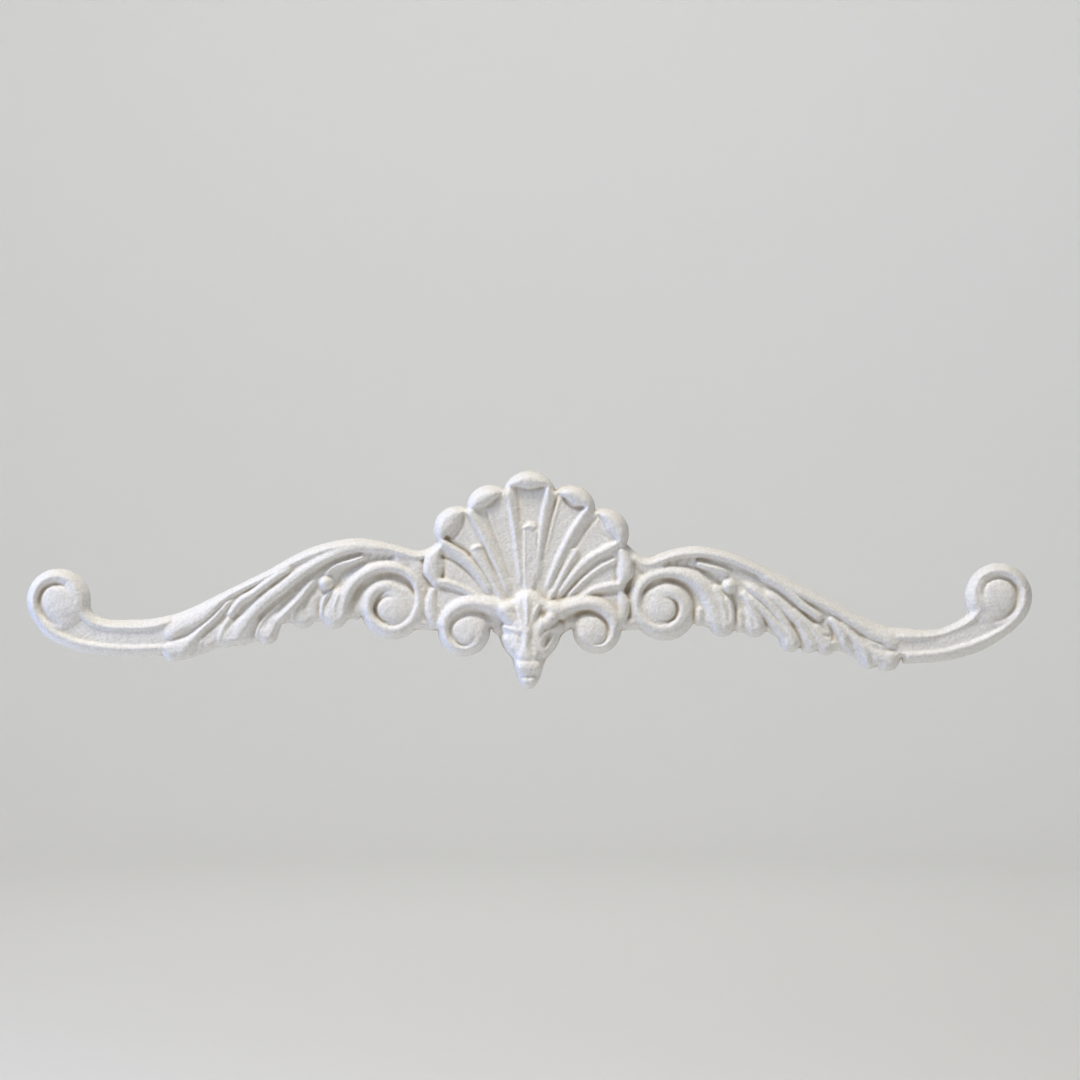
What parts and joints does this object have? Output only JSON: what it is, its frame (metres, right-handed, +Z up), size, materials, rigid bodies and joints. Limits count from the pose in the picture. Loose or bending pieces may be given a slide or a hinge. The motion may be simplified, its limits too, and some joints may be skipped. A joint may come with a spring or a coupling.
{
  "type": "pediment moulding",
  "caption": "Cast resin pediment moulding with a flat back: a fluted shell over a horned ram's head, between leafy wings that run out into upturned scrolls",
  "frame": {"origin": "a point of the flat back, at the middle of the length, behind the root of the shell, where the flutes meet over the ram's forehead", "axes": "+X runs along the length towards the right-hand scroll as seen from the front, +Y goes into the wall or board behind the flat back, +Z is up"},
  "size_m": [0.4197, 0.0146, 0.0911],
  "materials": {
    "cast_resin": "off-white unpainted cast resin, matt and slightly grainy, toned darker in the hollows"
  },
  "bodies": {
    "root": {"pediment": "cast_resin"}
  },
  "joints": []
}
